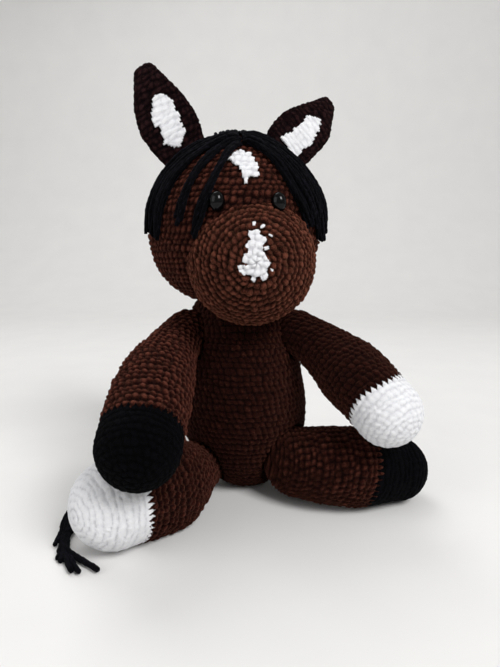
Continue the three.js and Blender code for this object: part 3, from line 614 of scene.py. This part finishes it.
def patch(name, raised, normal, painted_shading, turn, stitch, flat, outlines):
    """The part of a grid that lies in any of some outlines, as a piece of its own: flat holds each point's
    place in the outlines' plane. Two thirds of each point's own place and a third of its stitch's middle
    decide, so the edge follows the stitches. The piece stands 1 mm proud, and has a back and a rim 1.8 mm
    deep."""
    own_share, proud, deep = 0.65, 1.0, 1.8 * MM
    _, cell = np.unique(turn * 1000 + stitch.astype(int), return_inverse=True)
    cell = cell.reshape(turn.shape)
    front = flat[..., 0] < AWAY
    weight = np.maximum(np.bincount(cell.ravel(), front.ravel()), 1)
    x, y = (own_share * at
            + (1 - own_share) * (np.bincount(cell.ravel(), np.where(front, at, 0).ravel()) / weight)[cell]
            for at in (flat[..., 0], flat[..., 1]))
    chosen = np.any([inside(x, y, outline) for outline in outlines], axis=0) & front
    use = chosen[:-1] & chosen[1:] & np.roll(chosen, -1, 1)[:-1] & np.roll(chosen, -1, 1)[1:]
    used, faces = np.unique(cells(*np.nonzero(use), turn.shape[1]), return_inverse=True)
    points, faces = (raised + normal * proud).reshape(-1, 3)[used], faces.reshape(-1, 4)
    a, b, d = points[faces[0, 0]], points[faces[0, 1]], points[faces[0, 3]]
    if np.cross(b - a, d - a) @ normal.reshape(-1, 3)[used[faces[0, 0]]] < 0:
        faces = faces[:, ::-1]
    piece = shaped(name, points, faces.tolist(), painted_shading.ravel()[used])
    wall = piece.modifiers.new("thickness", "SOLIDIFY")
    wall.thickness, wall.offset = deep, -1.0
    return piece


head_rows, head_angle, head_around = ball_rounds(head_radius, head_radius * math.pi - 0.4)
head_local = pear(head_radius * np.stack(np.broadcast_arrays(
    np.sin(head_angle) * np.cos(head_around), np.sin(head_angle) * np.sin(head_around),
    np.cos(head_angle)), -1))
head_grid = press(on_head(head_local), head_middle, head_hollow)
head_raised, head_painted_shading, head_normal, head_rounds, head_stitch = crochet(
    head_grid, head_rows / ROUND_HIGH, 30, relief=1.45, split=0.85, fuzz=0.32)
head = surface("head", head_raised, head_painted_shading)
head.data.materials.append(brown_chenille)
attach(head, "head")
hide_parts("head_cover", "head_stuffing")

# The star's outline, across and up in mm from the head's middle, on the front half of the head
star_outlines = [[(-12.5, 33.5), (-8.8, 34.7), (-7.7, 38), (-3, 40), (3.6, 39.1), (6.1, 35.1), (7.1, 30.4),
                  (8, 24.4), (4.8, 22.8), (2.7, 24.2), (0.4, 22.6), (-0.6, 18.5), (-3.4, 20.4), (-3.2, 24),
                  (-4.3, 27.8), (-7, 30.8), (-9.7, 32.3)]]
star_flat = np.where(head_local[..., 1:2] < 0, head_local[..., [0, 2]], AWAY)
white_raised, white_painted_shading, *_ = crochet(head_grid, head_rows / ROUND_HIGH, 30, relief=1.4, split=0.5)
star = patch("star", white_raised, head_normal, white_painted_shading, head_rounds, head_stitch, star_flat,
             star_outlines)
star.data.materials.append(white_chenille)
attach(star, "head")
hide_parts("forehead_star")


# MUZZLE
# A stuffed dome in a lighter, warmer brown, worked in rounds from the middle of the nose and sewn over the
# lower face. A white snip runs down its front.
muzzle_middle, muzzle_radius, muzzle_deep, muzzle_turn = np.array([5.2, -39.5, -27.0]), 40.5, 36.0, -6
muzzle_reach, muzzle_stitch_wide = math.radians(118), 3.9
# A brighter dye of the same yarn: the painted highlight on its crowns is warm, and it glows more, since it
# faces the eye
light_brown_chenille = chenille("warm brown chenille yarn", "060101", "2a100b", "66392c", "b5765a", 0.5)
muzzle_rows, muzzle_angle, muzzle_around = ball_rounds(muzzle_radius, muzzle_radius * muzzle_reach)
muzzle_unit = np.stack(np.broadcast_arrays(
    np.sin(muzzle_angle) * np.cos(muzzle_around), -np.cos(muzzle_angle),
    np.sin(muzzle_angle) * np.sin(muzzle_around)), -1)
muzzle_bulge = muzzle_unit * (muzzle_radius, muzzle_deep, muzzle_radius)
muzzle_local = muzzle_middle + about_upright(muzzle_bulge, muzzle_turn)
# Balls of the raised left arm's root, as they lie to the head when it is turned left and nods
raised_arm = [((29.6, -33.0, 119.6), 19.2), ((35.5, -43.3, 118.8), 20.4)]
muzzle_grid = press(on_head(muzzle_local), on_head(muzzle_middle), head_hollow + raised_arm)
muzzle_raised, muzzle_painted_shading, muzzle_normal, muzzle_rounds, muzzle_stitch = crochet(
    muzzle_grid, muzzle_rows / ROUND_HIGH, 40, wide=muzzle_stitch_wide, split=0.55)
muzzle = surface("muzzle", muzzle_raised, muzzle_painted_shading)
muzzle.data.materials.append(light_brown_chenille)
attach(muzzle, "head")
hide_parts("muzzle_cover", "muzzle_stuffing")

# The outlines of the snip and of the loose stitches beside it, across and up in mm from the nose
snip_outlines = [
    [(-4.7, 18.9), (-2.4, 17.5), (0, 18.9), (2.4, 17.5), (3.8, 15.1), (5.6, 13.7), (6.6, 11.4), (4.1, 9),
     (3.6, 6.7), (5, 3.9), (6.5, 2), (8.4, -0.4), (8, -3.2), (6, -5.6), (6.6, -7.5), (5.2, -10.9),
     (3.2, -10.3), (1.7, -7), (-0.2, -7.9), (-1.1, -11.3), (-3, -9.4), (-4.5, -7), (-6.8, -7.5),
     (-10.2, -4.1), (-10.2, -1.8), (-7.8, -1.3), (-5.4, -1.8), (-4, -0.3), (-6.9, 0.1), (-7.8, 2.5),
     (-7.8, 4.3), (-4.5, 5.3), (-4, 7.6), (-6.3, 8.5), (-5.8, 10.9), (-4.4, 12.7), (-2.9, 13.7),
     (-4.3, 15.1)],
    [(-2.7, 22), (-1.2, 23.5), (0.4, 22.4), (-0.2, 20.6), (-2.5, 20.6)],
    [(2.8, 20.8), (4.5, 21.6), (6.1, 20), (4.4, 19), (2.8, 19.6)],
    [(7.5, 16.2), (10.3, 15), (10.2, 13.3), (7.9, 14)],
    [(4.4, 8.5), (7, 9.4), (8.6, 8.3), (7, 6.9), (4.8, 7.4)], [(8, -3.8), (9.8, -4.3), (9, -5.8)]]
snip_flat = np.where(muzzle_unit[..., 1:2] < -0.2, muzzle_bulge[..., [0, 2]], AWAY)
white_raised, white_painted_shading, *_ = crochet(muzzle_grid, muzzle_rows / ROUND_HIGH, 40, wide=muzzle_stitch_wide,
                                       relief=1.4, split=0.5)
snip = patch("snip", white_raised, muzzle_normal, white_painted_shading, muzzle_rounds, muzzle_stitch, snip_flat,
             snip_outlines)
snip.data.materials.append(white_chenille)
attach(snip, "head")
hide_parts("muzzle_snip")


# EYES
# Two black safety eyes, moulded in glossy plastic: an oval domed head, a shank that goes through the fabric,
# and a washer that snaps on behind it.

# ABS from a polished mould: it shows the lamps as small sharp lights, blurred by handling in clouds of 4 mm
gloss = blank("black glossy ABS")
gloss_haze = add(gloss, "ShaderNodeTexNoise", {"Scale": 1 / (4 * MM), "Detail": 2.0},
                 {"Vector": add(gloss, "ShaderNodeTexCoord", {}).outputs["Object"]})
gloss_rough = add(gloss, "ShaderNodeMapRange", {"To Min": 0.08, "To Max": 0.16},
                  {"Value": gloss_haze.outputs["Fac"]})
gloss_face = add(gloss, "ShaderNodeBsdfPrincipled",
                 {"Base Color": linear("030304"), "Specular IOR Level": 0.18},
                 {"Roughness": gloss_rough.outputs["Result"]})
add(gloss, "ShaderNodeOutputMaterial", {}, {"Surface": gloss_face.outputs["BSDF"]})
# Nylon from an eroded mould, for the washers: an even satin, with a grain of 0.1 mm that is drawn at 0.8 mm
moulded = blank("black moulded nylon")
moulded_grain = add(moulded, "ShaderNodeTexNoise", {"Scale": 1 / (0.8 * MM)},
                    {"Vector": add(moulded, "ShaderNodeTexCoord", {}).outputs["Object"]})
moulded_bump = add(moulded, "ShaderNodeBump", {"Strength": 0.2, "Distance": 0.2 * MM},
                   {"Height": moulded_grain.outputs["Fac"]})
moulded_face = add(moulded, "ShaderNodeBsdfPrincipled", {"Base Color": linear("141416"), "Roughness": 0.45},
                   {"Normal": moulded_bump.outputs["Normal"]})
add(moulded, "ShaderNodeOutputMaterial", {}, {"Surface": moulded_face.outputs["BSDF"]})

# An eye's profile: half widths as a share, and distances from the head's middle, over the dome, under its rim
# and down the shank. The dome is an oval, and the shank is round.
dome_turn = np.linspace(0, math.pi / 2, 18)
eye_share = np.concatenate([np.sin(dome_turn) + 0.002, [0.97, 0.3, 0.26, 0.26, 0.2]])
eye_far = np.concatenate([60.6 + 4.8 * np.cos(dome_turn), [60.2, 60.1, 59.5, 48.2, 47.1]])
eye_half, dome_half_across, eye_aside, eye_up = 6.2, 4.7, 18.2, 8.3
eye_around = np.linspace(0, 2 * math.pi, 48, endpoint=False)
half_across = np.where(np.arange(len(eye_share)) <= len(dome_turn), dome_half_across, eye_half)[:, None]
for eye_name, aside in (("right_eye", -eye_aside), ("left_eye", eye_aside)):
    out = np.array([aside, -math.sqrt(head_radius ** 2 - aside ** 2 - eye_up ** 2), eye_up]) / head_radius
    beside = unit(np.cross((0, 0, 1.0), out))
    above = np.cross(out, beside)
    grid = (out * eye_far[:, None, None]
            + beside * (eye_share[:, None] * half_across * np.cos(eye_around))[..., None]
            + above * (eye_share[:, None] * eye_half * np.sin(eye_around))[..., None])
    eye = surface(eye_name + "_button", on_head(grid))
    eye.data.materials.append(gloss)
    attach(eye, "head")
    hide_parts(eye_name)
    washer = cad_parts[eye_name + "_washer"]
    washer.data.materials.clear()
    washer.data.materials.append(moulded)


# EARS
# Flat stuffed leaves of brown crochet with blunt tips that curl a little, and a white patch worked into the
# front of each. They are sewn on at the foot.

# The feet and the tips, from the head's middle
ear_places = {"right_ear": ((-34, 2, 49), (-60.5, 12.4, 103.7)),
              "left_ear": ((35, 1, 48), (76.9, 20.5, 88.9))}
# At shares of an ear's length: half widths towards the horse's right and its left, and half thicknesses
ear_share = np.array([0, 0.1, 0.2, 0.35, 0.5, 0.65, 0.8, 0.9, 0.95, 0.985, 1.0])
ear_halves = {"right_ear": ([16, 19, 20.6, 22.4, 21.4, 18, 12.8, 10, 8.4, 5.4, 0.6],
                            [13.5, 15.5, 16.8, 17.6, 16, 13.2, 9.6, 7.6, 6.4, 4.2, 0.6]),
              "left_ear": ([15, 18.4, 19.2, 19.6, 17, 13.4, 9.4, 7.4, 6.4, 4.2, 0.6],
                           [14, 16.5, 17.4, 17.8, 18, 16.8, 11, 8.2, 6.8, 4.6, 0.6])}
ear_thick = np.array([0.9, 1, 1, 1, 0.95, 0.9, 0.85, 0.82, 0.75, 0.5, 0.1]) * 4.0
# The patches' outlines, across and up in mm from the middle of the foot
lining_outlines = {
    "right_ear": [[(-1.5, 46), (5, 42.5), (8.3, 35), (6.7, 14), (-1.7, 5), (-11, 13), (-10, 22.5),
                   (-11.5, 31), (-6, 43)]],
    "left_ear": [[(-7.5, 38.5), (2, 47.5), (6, 43.5), (10, 28), (8.5, 10), (0, 8.5), (-9.5, 9), (-7.5, 21.5),
                  (-6, 32.5)]]}
foot_deep, tip_past, ear_turn, ear_stitches = 6, 2, 12, 15
cup_deep, cup_wide, cup_back, tip_curl = 2.5, 19, 1.2, 3.0
# The same brown yarn with darker colours: painted shade, as the ears lie in less light. It also glows less
ear_painted_shade_chenille = chenille("brown ear yarn, painted shade", "030002", "0f0506", "291618", "5a3a3a", 0.2)
for seed, (ear_name, (foot, tip)) in enumerate(ear_places.items()):
    foot, tip = np.array(foot, float), np.array(tip, float)
    along = unit(tip - foot)
    facing = turned(np.array([[0, -1.0, 0]]), np.zeros(3), (0, 0, 1), math.copysign(ear_turn, foot[0]))[0]
    beside = unit(np.cross(along, facing))
    front = np.cross(beside, along)
    start, length = foot - foot_deep * along, np.linalg.norm(tip - foot) + foot_deep + tip_past
    rows = np.arange(0.3, length, ROUND_HIGH / ALONG)
    share = (rows / length)[:, None]
    angle = round_about(ACROSS * ear_stitches)
    right, left = (np.interp(share, ear_share, halves) for halves in ear_halves[ear_name])
    half = np.where(np.cos(angle) > 0, left, right) * np.cos(angle)
    thick = np.interp(share, ear_share, ear_thick) * np.sin(angle)
    # The ear is hollowed by the square of the distance from its middle line, and its last quarter curls back
    cup = cup_deep * (half / cup_wide) ** 2 - cup_back
    local = (start + along * (share * length)[..., None] + beside * half[..., None]
             + front * (thick + cup - tip_curl * smooth((share - 0.75) / 0.25))[..., None])
    raised, painted_shading, normal, turn, stitch = crochet(on_head(local), rows / ROUND_HIGH, 50 + seed, relief=0.5,
                                                 wide=3.6, split=0.4, fuzz=0.4)
    ear = surface(ear_name + "_leaf", raised, painted_shading)
    ear.data.materials.append(ear_painted_shade_chenille)
    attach(ear, ear_name)
    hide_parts(ear_name)
    flat = np.stack([half, np.broadcast_to(share * length, half.shape)], -1)
    flat = np.where((np.sin(angle) > 0.15)[None, :, None], flat, AWAY)
    lining = patch(ear_name + "_white", raised, normal, painted_shading, turn, stitch, flat, lining_outlines[ear_name])
    lining.data.materials.append(white_chenille)
    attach(lining, ear_name)
    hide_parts(ear_name + "_lining")


# MANE
# Black yarn knotted along the crown and parted on top: strands lie on the head in locks, three to the right
# of the face, two to the left, one over the crown and one down the nape. Each strand ends where it was cut.
def direction(side, front):
    """The unit vector at an angle down from the parting and an angle forward from the ears, in degrees."""
    a, b = np.radians(side), np.radians(front)
    return np.stack([np.sin(a) * np.cos(b), -np.sin(b), np.cos(a) * np.cos(b)], -1)


def soft_tube(path, radius, seed):
    """A fuzzy strand round a path: a ring of 10 points at each place, its radius changed by soft noise and
    by four fine ridges that turn by a radian every 3 mm, and smaller by the root of the way to the strand's
    ends over the last 2 mm. Returns the tube and the share for colour, which is lighter where the radius is
    larger: a painted highlight on the ridges, and tone that differs at random with the noise."""
    facets = 10
    side, top = sides(unit(np.gradient(path, axis=0)), (0.12, 0.23, 1.0))
    run = run_along(path)
    ridge = 0.09 * np.cos(4 * (round_about(facets)[None] + run[:, None] / 3.0))
    noise = 0.2 * speckle((len(path), facets), seed, 1)
    ends = np.clip(np.minimum(run + 0.6, run[-1] - run + 1.4) / 2.0, 0.3, 1) ** 0.5
    size = radius * ends[:, None] * (1 + ridge + noise)
    tube = path[:, None] + size[..., None] * rings(side, top, facets)
    return tube, np.clip(0.55 + 2.2 * (ridge + noise), 0, 1)


def along_curve(points, count):
    """A smooth line through points: between two of them four neighbours are mixed, each weighted by a cubic
    of the share of the way."""
    points = np.asarray(points, float)
    padded = np.concatenate([2 * points[:1] - points[1:2], points, 2 * points[-1:] - points[-2:-1]])
    at = np.linspace(0, len(points) - 1, count)
    k = np.minimum(at.astype(int), len(points) - 2)
    t = (at - k)[:, None]
    p0, p1, p2, p3 = (padded[k + n] for n in range(4))
    return 0.5 * (2 * p1 + (p2 - p0) * t + (2 * p0 - 5 * p1 + 4 * p2 - p3) * t ** 2
                  + (3 * p1 - p0 - 3 * p2 + p3) * t ** 3)


# Each lock: stations of side angle, forward angle and half width in degrees, then how many strands and layers
locks = {
    "mane_right_front": ([(-2, 37, 1.5), (-14, 46, 1.8), (-31, 56, 2), (-58, 62, 2.2), (-80, 62.5, 2.2),
                          (-100, 59, 2), (-121, 50, 1.8)], 4, 1),
    "mane_right_middle": ([(-2, 33, 1.5), (-18, 38.5, 2), (-35, 45, 2.3), (-58, 49.5, 2.4), (-78, 50, 2.4),
                           (-98, 46, 2)], 4, 1),
    "mane_right_side": ([(-3, 27, 3), (-22, 30, 5), (-40, 29, 8), (-58, 27.5, 9.5), (-78, 26, 10),
                         (-94, 23, 9), (-104, 21, 7)], 12, 2),
    "mane_left_front": ([(1, 35, 2), (14, 39, 4), (32, 46, 5.5), (60, 51, 7), (82, 48.5, 7.5),
                         (102, 41, 6)], 9, 2),
    "mane_left_side": ([(2, 26, 4), (22, 29, 6.5), (40, 31, 9), (62, 32, 11), (82, 30, 11.5), (96, 26, 10.5),
                        (104, 22, 8)], 13, 2),
    "mane_crown": ([(-1, -16, 9), (-1, -4, 12), (-1, 8, 14), (-1, 20, 16), (-1, 30, 16),
                    (-1, 38, 14)], 11, 1),
    "mane_nape": ([(0, -14, 12), (0, -34, 20), (0, -55, 26), (0, -75, 28), (0, -95, 28), (0, -112, 25),
                   (0, -124, 18)], 20, 2),
}
strand_points, hair_gap, layer_apart, root_sunk = 90, 0.9, 1.6, 1.5
# Chenille of the same black, spread in strands: a painted highlight lights its ridges as thin cool lines
black_hair = chenille("black mane yarn", "000001", "030304", "15151c", "5c5c72", 0.1)
for lock_number, (lock_name, (stations, count, layers)) in enumerate(locks.items()):
    rng = np.random.default_rng(100 + lock_number)
    side, front, half = np.array(stations, float).T
    middle = direction(side, front)
    run_way = np.gradient(middle, axis=0)
    run_way = unit(run_way - (run_way * middle).sum(1, keepdims=True) * middle)
    sideways = np.cross(middle, run_way)
    tubes, shares = [], []
    for layer in range(layers):
        for n in range(count):
            spread = (n + 0.5 + 0.3 * rng.uniform(-1, 1) + 0.5 * (layer % 2)) / count * 2 - 1
            offset = np.radians(half) * np.clip(spread, -1, 1)
            path = middle * np.cos(offset)[:, None] + sideways * np.sin(offset)[:, None]
            stop = int(strand_points * (1 - rng.uniform(0, 0.16)))
            path = unit(along_curve(path, strand_points))[:stop]
            radius = rng.uniform(0.95, 1.45)
            share = np.linspace(0, 1, stop)
            # The strand lies on the head or on the layer below, loosely, and dips into its knot at the root
            lift = head_radius + hair_gap + radius + layer * layer_apart
            lift = lift + 0.7 * np.sin(share * 9 + rng.uniform(0, 6)) - root_sunk * (1 - smooth(share / 0.08))
            # It sways more towards its end. The sway is taken at the stations and drawn between them
            sway = 1.2 * np.sin(share * rng.uniform(5, 11) + rng.uniform(0, 6)) * share
            taken = sway[np.linspace(0, stop - 1, len(side)).astype(int)]
            sway = np.interp(share, np.linspace(0, 1, len(side)), taken)[:, None]
            local = path * lift[:, None] + sway * along_curve(sideways, stop)
            tube, shade = soft_tube(on_head(pear(local)), radius, 1000 + lock_number * 100 + layer * 20 + n)
            tubes.append(tube)
            shares.append(shade)
    lock = joined(lock_name + "_strands", tubes, shares)
    lock.data.materials.append(black_hair)
    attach(lock, "head")
    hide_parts(lock_name)


# TAIL
# A bundle of the same black yarn, tied at its root behind the seat. It lies on the floor round the right leg,
# and its cut ends fan out beside the hoof.
tail_low = 3.9      # the bundle's middle above the floor
tail_line = np.array([(0, 33.4, 14.8), (-2.5, 39, 11), (-12.7, 53.3, 7.5), (-33, 55.9, 5),
                      (-61, 44.5, tail_low), (-85.1, 19, tail_low), (-102.9, -14, tail_low),
                      (-111, -45.7, tail_low), (-111.5, -70, tail_low)])
tail_half = np.array([1.0, 2.2, 4.4, 4.8, 5, 5.4, 5.6, 5.6, 5.6])
tail_ends = np.array([(-79, -122.5), (-97, -123.5), (-102, -112), (-108, -106), (-114, -93)])
tail_side, _ = sides(np.gradient(tail_line, axis=0), (0, 0, 1.0))
hoof_place, hoof_clear, tail_gap, strand_low = (-77, -92), 31, 0.4, 0.3
rng = np.random.default_rng(300)
tubes, shares = [], []
for layer, count in enumerate((8, 6)):
    for n in range(count):
        spread = (n + 0.5) / count * 2 - 1
        radius = rng.uniform(1.35, 1.7)
        line = tail_line + tail_side * (tail_half * spread)[:, None]
        end = [np.interp(spread, np.linspace(-0.9, 0.9, 5), tail_ends[:, axis]) for axis in (0, 1)]
        end = np.array(end) + rng.uniform(-3, 3, 2)
        # Halfway to its end a strand keeps clear of the hoof
        via = (line[-1, :2] + end) / 2 - hoof_place
        via = via * max(1, hoof_clear / np.linalg.norm(via)) + hoof_place
        line = np.concatenate([line, [(*via, tail_low), (*end, tail_low)]])
        # A layer lies on the one below, and comes down to the floor over its last three points
        high = radius + tail_gap + layer * 2.4 * np.clip((len(line) - 1 - np.arange(len(line))) / 3, 0, 1)
        high = high + 0.6 * np.abs(rng.uniform(-1, 1, len(line))) + line[:, 2] - tail_low
        line[1:, 2] = high[1:]
        line[0, 2] = tail_line[0, 2] + 1.2 * (layer - 0.5)
        path = along_curve(line, 150)
        share = np.linspace(0, 1, len(path))
        path[:, :2] += (0.5 * np.sin(14 * share + rng.uniform(0, 6)) * share)[:, None]
        tube, shade = soft_tube(path, radius, 2000 + layer * 20 + n)
        tube[..., 2] = np.maximum(tube[..., 2], strand_low)
        tubes.append(tube)
        shares.append(shade)
tail = joined("tail_strands", tubes, shares)
tail.data.materials.append(black_hair)
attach(tail, "tail")
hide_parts("tail")
